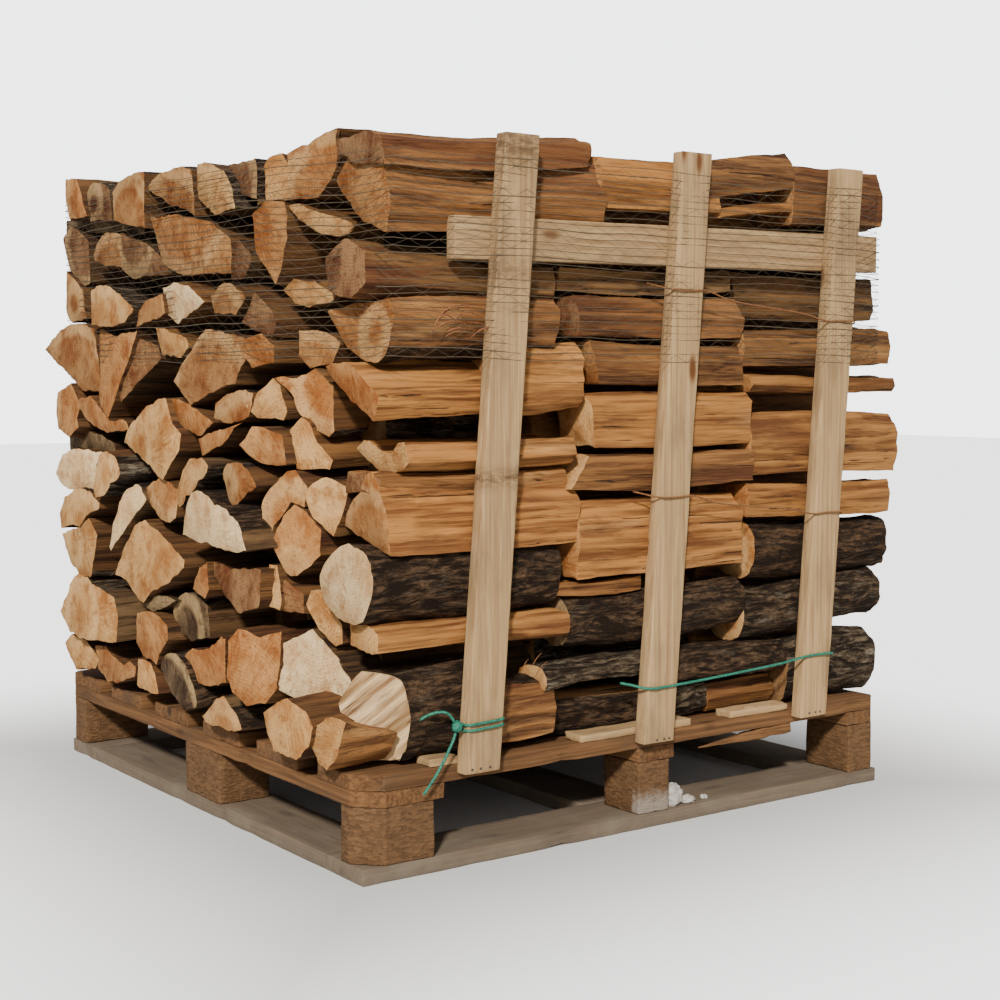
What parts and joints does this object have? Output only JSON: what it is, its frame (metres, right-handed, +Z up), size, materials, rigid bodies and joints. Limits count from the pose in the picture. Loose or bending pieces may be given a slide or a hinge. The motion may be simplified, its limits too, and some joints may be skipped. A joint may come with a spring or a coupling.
{
  "type": "palletised firewood stack",
  "caption": "Rows of short split logs stacked on a square block pallet, held by upright battens, rails, twines and a net band round the top.",
  "frame": {"origin": "middle of the pallet's underside, on the ground", "axes": "+Z up; +X along the logs and along the face with the battens, to the right as that face is seen; +Y back from that face"},
  "size_m": [1.047, 1.06, 1.001],
  "materials": {
    "deck_wood": "weathered brown softwood boards, rough sawn",
    "base_wood": "grey boards on the ground, dusted with dry cement",
    "chipboard": "pressed chipboard blocks, coarse orange-brown flakes",
    "firewood": "freshly split wood with dark bark and pale sawn ends",
    "batten_wood": "pale rough-sawn softwood laths",
    "green_twine": "green polypropylene twine",
    "brown_twine": "brown sisal twine",
    "net_thread": "fine dark knitted wrapping net"
  },
  "bodies": {
    "root": {"deck_board_1": "deck_wood", "deck_board_2": "deck_wood", "deck_board_3": "deck_wood", "deck_board_4": "deck_wood", "deck_board_5": "deck_wood", "deck_board_6": "deck_wood", "stringer_left": "deck_wood", "stringer_middle": "deck_wood", "stringer_right": "deck_wood", "base_board_front": "base_wood", "base_board_back": "base_wood", "base_board_left": "base_wood", "base_board_middle": "base_wood", "base_board_right": "base_wood", "block_front_left": "chipboard", "block_front_middle": "chipboard", "block_front_right": "chipboard", "block_middle_left": "chipboard", "block_centre": "chipboard", "block_middle_right": "chipboard", "block_back_left": "chipboard", "block_back_middle": "chipboard", "block_back_right": "chipboard", "logs_row_1_course_1": "firewood", "logs_row_2_course_1": "firewood", "logs_row_3_course_1": "firewood", "logs_row_1_course_2": "firewood", "logs_row_2_course_2": "firewood", "logs_row_3_course_2": "firewood", "logs_row_1_course_3": "firewood", "logs_row_2_course_3": "firewood", "logs_row_3_course_3": "firewood", "logs_row_1_course_4": "firewood", "logs_row_2_course_4": "firewood", "logs_row_3_course_4": "firewood", "logs_row_1_course_5": "firewood", "logs_row_2_course_5": "firewood", "logs_row_3_course_5": "firewood", "batten_front_1": "batten_wood", "batten_front_2": "batten_wood", "batten_front_3": "batten_wood", "batten_back_1": "batten_wood", "batten_back_2": "batten_wood", "batten_back_3": "batten_wood", "rail_front": "batten_wood", "rail_back": "batten_wood", "lath_1": "batten_wood", "lath_2": "batten_wood", "lath_3": "batten_wood", "twine_green_line": "green_twine", "twine_green_turns": "green_twine", "twine_green_knot": "green_twine", "twine_green_end": "green_twine", "twine_green_tail": "green_twine", "twine_brown_middle": "brown_twine", "twine_brown_top": "brown_twine", "net_band": "net_thread"}
  },
  "joints": []
}
